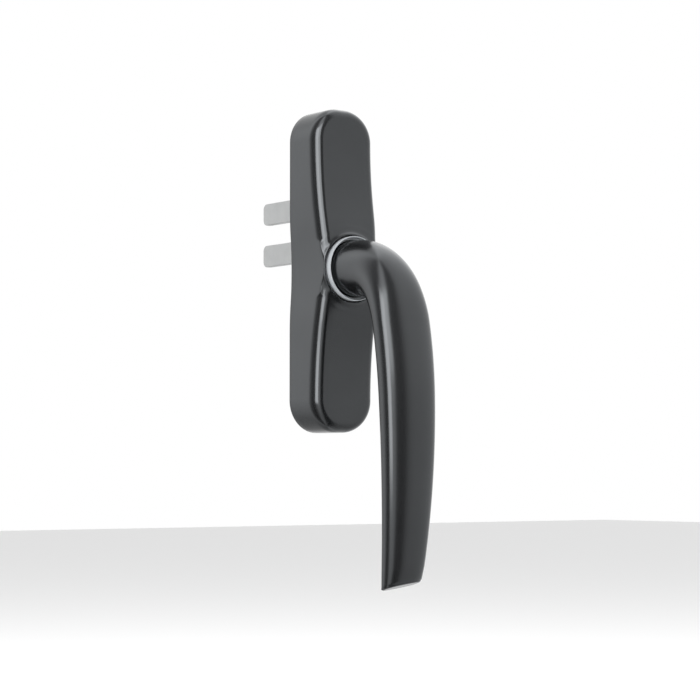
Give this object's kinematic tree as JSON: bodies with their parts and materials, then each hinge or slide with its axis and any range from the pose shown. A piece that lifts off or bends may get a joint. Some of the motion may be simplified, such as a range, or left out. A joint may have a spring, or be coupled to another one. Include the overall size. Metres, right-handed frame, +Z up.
{
  "type": "tilt turn fork handle",
  "caption": "Window handle with an arched lever on a slim waisted cover; a fork with flat prongs reaches back from the base to drive the window's rod.",
  "frame": {"origin": "on the lever's turning axis, in the back face of the base", "axes": "+Y points back into the window profile, -Y towards the room, +Z up along the base with the lever hanging down, +X to the right seen from the room"},
  "size_m": [0.034, 0.116, 0.2198],
  "materials": {
    "cover_metal": "dark grey satin metallic coat on die casting",
    "lever_metal": "dark grey satin metallic coat on die casting",
    "cast_housing": "bare tumbled die casting",
    "zinc_plate": "bright zinc plated pressed steel",
    "zinc_screws": "bright zinc plated screws",
    "prong_zinc": "dull zinc plated steel strip",
    "spring_steel": "bare spring steel",
    "gear_steel": "sintered steel",
    "ring_plastic": "pale grey moulded nylon",
    "acetal": "natural white acetal",
    "seal_rubber": "black rubber"
  },
  "bodies": {
    "base": {"cover": "cover_metal", "body": "cast_housing", "back_plate": "zinc_plate", "back_plate_screws": "zinc_screws", "fixing_screws": "zinc_screws", "screw_seals": "seal_rubber", "cover_clip_upper": "spring_steel", "cover_clip_lower": "spring_steel", "neck_ring": "ring_plastic", "neck_bush": "acetal", "click_spring_left": "spring_steel", "click_spring_right": "spring_steel"},
    "handle": {"lever": "lever_metal", "spindle": "zinc_plate", "spindle_pin": "spring_steel", "drive_pinion": "gear_steel", "retaining_ring": "spring_steel", "thrust_washer": "zinc_plate", "wave_washer": "spring_steel"},
    "carriage": {"drive_rack": "gear_steel", "carriage_glide": "acetal", "fork_prong_upper": "prong_zinc", "fork_prong_lower": "prong_zinc"}
  },
  "joints": [
    {"name": "lever_turn", "type": "hinge", "parent": "base", "child": "handle", "pos_m": [0, 0, 0], "axis": [0, 1, 0], "range_deg": [0, 180], "deforming": ["click_spring_left", "click_spring_right"]},
    {"name": "rack_slide", "type": "slide", "parent": "base", "child": "carriage", "axis": [0, 0, -1], "range_m": [0, 0.0346]}
  ],
  "couplings": [
    {"joint": "rack_slide", "follows": "lever_turn", "m_per_rad": 0.011}
  ]
}
